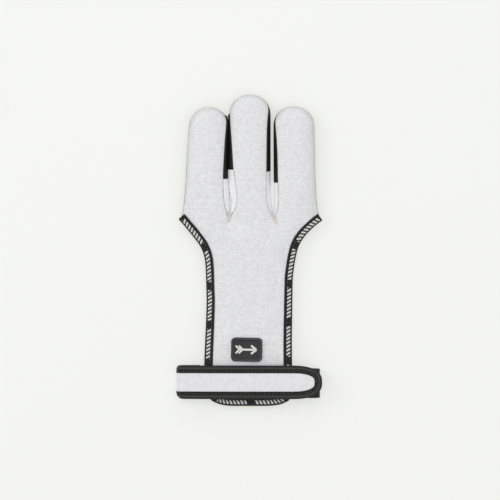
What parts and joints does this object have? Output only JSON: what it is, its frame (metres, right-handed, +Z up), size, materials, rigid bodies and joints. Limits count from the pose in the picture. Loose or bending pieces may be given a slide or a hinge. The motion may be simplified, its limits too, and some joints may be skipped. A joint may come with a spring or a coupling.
{
  "type": "archery glove",
  "caption": "Three-finger archery glove, white stretch-knit back, black leather finger fronts and sides, black edge binding and a wrist strap closed over the hand.",
  "frame": {"origin": "bottom centre of the glove's box as it lies palm down", "axes": "+Y to the fingertips, +Z up out of the back of the hand, +X to the side where the strap's tip ends"},
  "size_m": [0.1023, 0.2169, 0.0152],
  "materials": {
    "white_knit": "matte",
    "white_elastic": "matte",
    "black_leather": "satin",
    "black_tape": "matte",
    "black_rubber": "satin"
  },
  "bodies": {
    "root": {"back_panel": "white_knit", "palm_front": "black_leather", "index_side_wall": "black_leather", "middle_left_wall": "black_leather", "middle_right_wall": "black_leather", "ring_side_wall": "black_leather", "left_gusset": "white_elastic", "right_gusset": "white_elastic", "hand_binding": "black_tape", "hem_binding": "black_tape", "badge": "black_rubber", "wrist_band": "black_tape", "closure_pad": "black_tape", "strap_tab": "white_knit", "strap_binding": "black_tape"}
  },
  "joints": []
}
